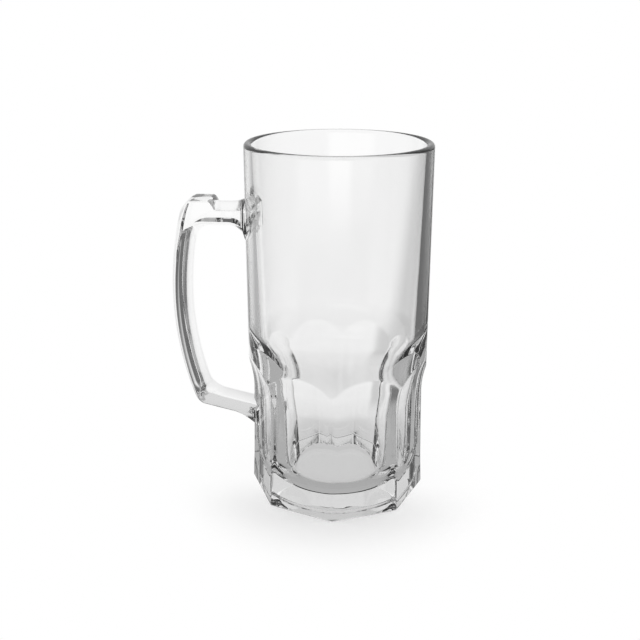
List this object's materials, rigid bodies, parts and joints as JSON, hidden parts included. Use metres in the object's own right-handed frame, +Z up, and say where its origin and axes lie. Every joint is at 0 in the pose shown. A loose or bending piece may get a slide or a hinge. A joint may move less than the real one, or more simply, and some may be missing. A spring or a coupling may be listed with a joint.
{
  "type": "beer mug",
  "caption": "Tall clear glass beer mug with a plain wall, a fluted lower half ending in arches, a heavy foot and a welded side handle with a thumb rest.",
  "frame": {"origin": "middle of the foot's underside, on the mug's axis, at the height of the surface that it stands on", "axes": "+Z up along the mug's axis, the handle towards -X, +Y across the handle"},
  "size_m": [0.1435, 0.101, 0.2],
  "materials": {
    "clear_glass": "clear pressed glass, fire polished"
  },
  "bodies": {
    "root": {"mug_body": "clear_glass", "handle": "clear_glass"}
  },
  "joints": []
}
